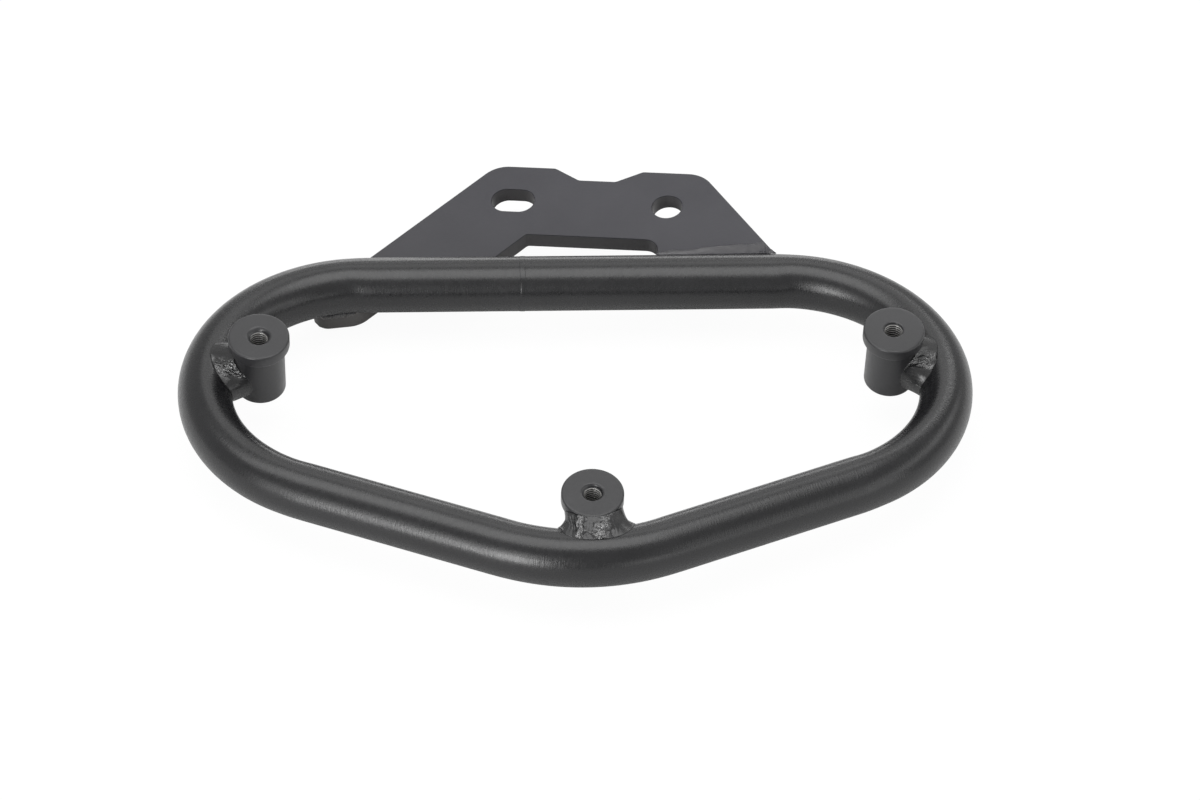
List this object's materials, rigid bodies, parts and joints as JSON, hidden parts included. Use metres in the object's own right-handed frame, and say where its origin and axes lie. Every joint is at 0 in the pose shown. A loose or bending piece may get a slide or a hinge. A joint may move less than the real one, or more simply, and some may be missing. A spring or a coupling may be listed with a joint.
{
  "type": "pannier frame",
  "caption": "Side carrier for a soft motorbike pannier: a closed bent-tube loop with threaded bosses welded inside it and a bolt-on plate with a round hole and a slot",
  "frame": {"origin": "centre of the round bolt hole, on the upper face of the mounting plate", "axes": "+X along the straight side of the loop, towards the end with the round hole; +Y from the front bend towards the straight side and the plate; +Z square to the loop's plane, out of the boss faces"},
  "size_m": [0.2546, 0.1945, 0.0389],
  "materials": {
    "black_coat": "matte black powder coat on drawn steel tube",
    "plate_coat": "matte black powder coat on laser-cut steel plate",
    "boss_coat": "matte black powder coat on turned steel, thread left bare of build-up",
    "weld_coat": "powder coat over rippled weld metal"
  },
  "bodies": {
    "root": {"tube_loop": "black_coat", "loop_butt_weld": "weld_coat", "left_boss": "boss_coat", "right_boss": "boss_coat", "front_boss": "boss_coat", "left_boss_weld": "weld_coat", "right_boss_weld": "weld_coat", "front_boss_weld": "weld_coat", "mounting_plate": "plate_coat", "leg_upper_weld": "weld_coat", "leg_lower_weld": "weld_coat", "arm_weld": "weld_coat", "tab_weld": "weld_coat"}
  },
  "joints": []
}
